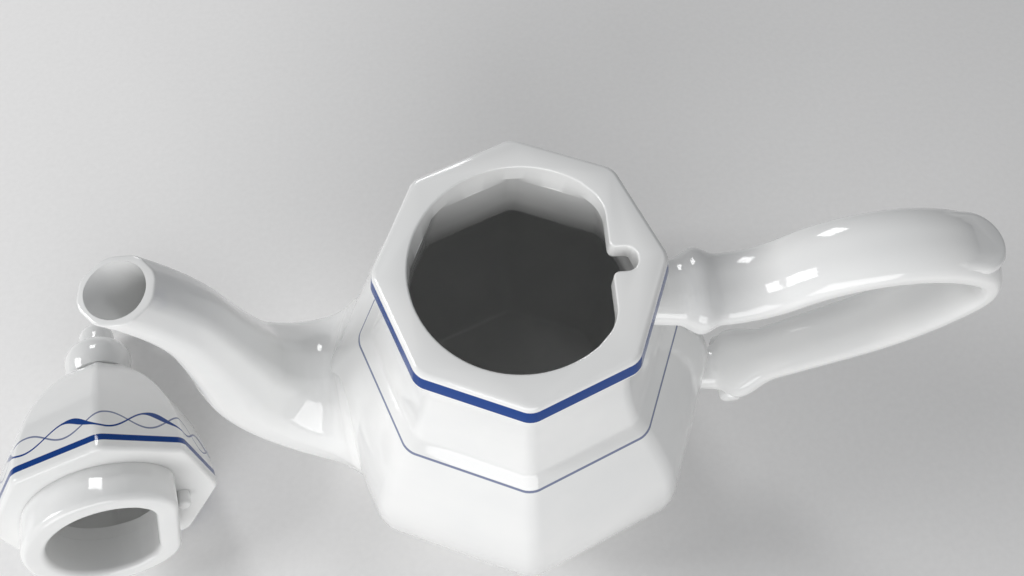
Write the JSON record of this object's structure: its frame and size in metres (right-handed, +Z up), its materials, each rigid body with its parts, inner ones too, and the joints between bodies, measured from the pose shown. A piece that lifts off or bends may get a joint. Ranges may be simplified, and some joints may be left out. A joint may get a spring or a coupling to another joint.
{
  "type": "teapot",
  "caption": "Octagonal white porcelain teapot with an S-shaped spout, a strap handle and a lift-off domed lid with a keyed D-shaped collar, lying beside the pot.",
  "frame": {"origin": "middle of the foot, on the pot's axis, on the plane it stands on", "axes": "+Z up along the pot's axis, spout towards -X, handle towards +X"},
  "size_m": [0.3248, 0.1386, 0.1539],
  "materials": {
    "pot_glaze": "glossy clear glaze over white porcelain, cobalt lines on rim and shoulder",
    "lid_glaze": "glossy clear glaze over white porcelain, cobalt stripe and wave border on the dome"
  },
  "bodies": {
    "pot": {"pot_body": "pot_glaze", "spout": "pot_glaze", "handle": "pot_glaze"},
    "lid": {"lid_dome": "lid_glaze", "lid_collar": "lid_glaze", "lid_key": "lid_glaze", "lid_knob": "lid_glaze"}
  },
  "joints": [
    {"name": "lid_lift", "type": "slide", "parent": "pot", "child": "lid", "axis": [-0.6007, -0.3004, 0.7409], "range_m": [0, 0.1]}
  ]
}
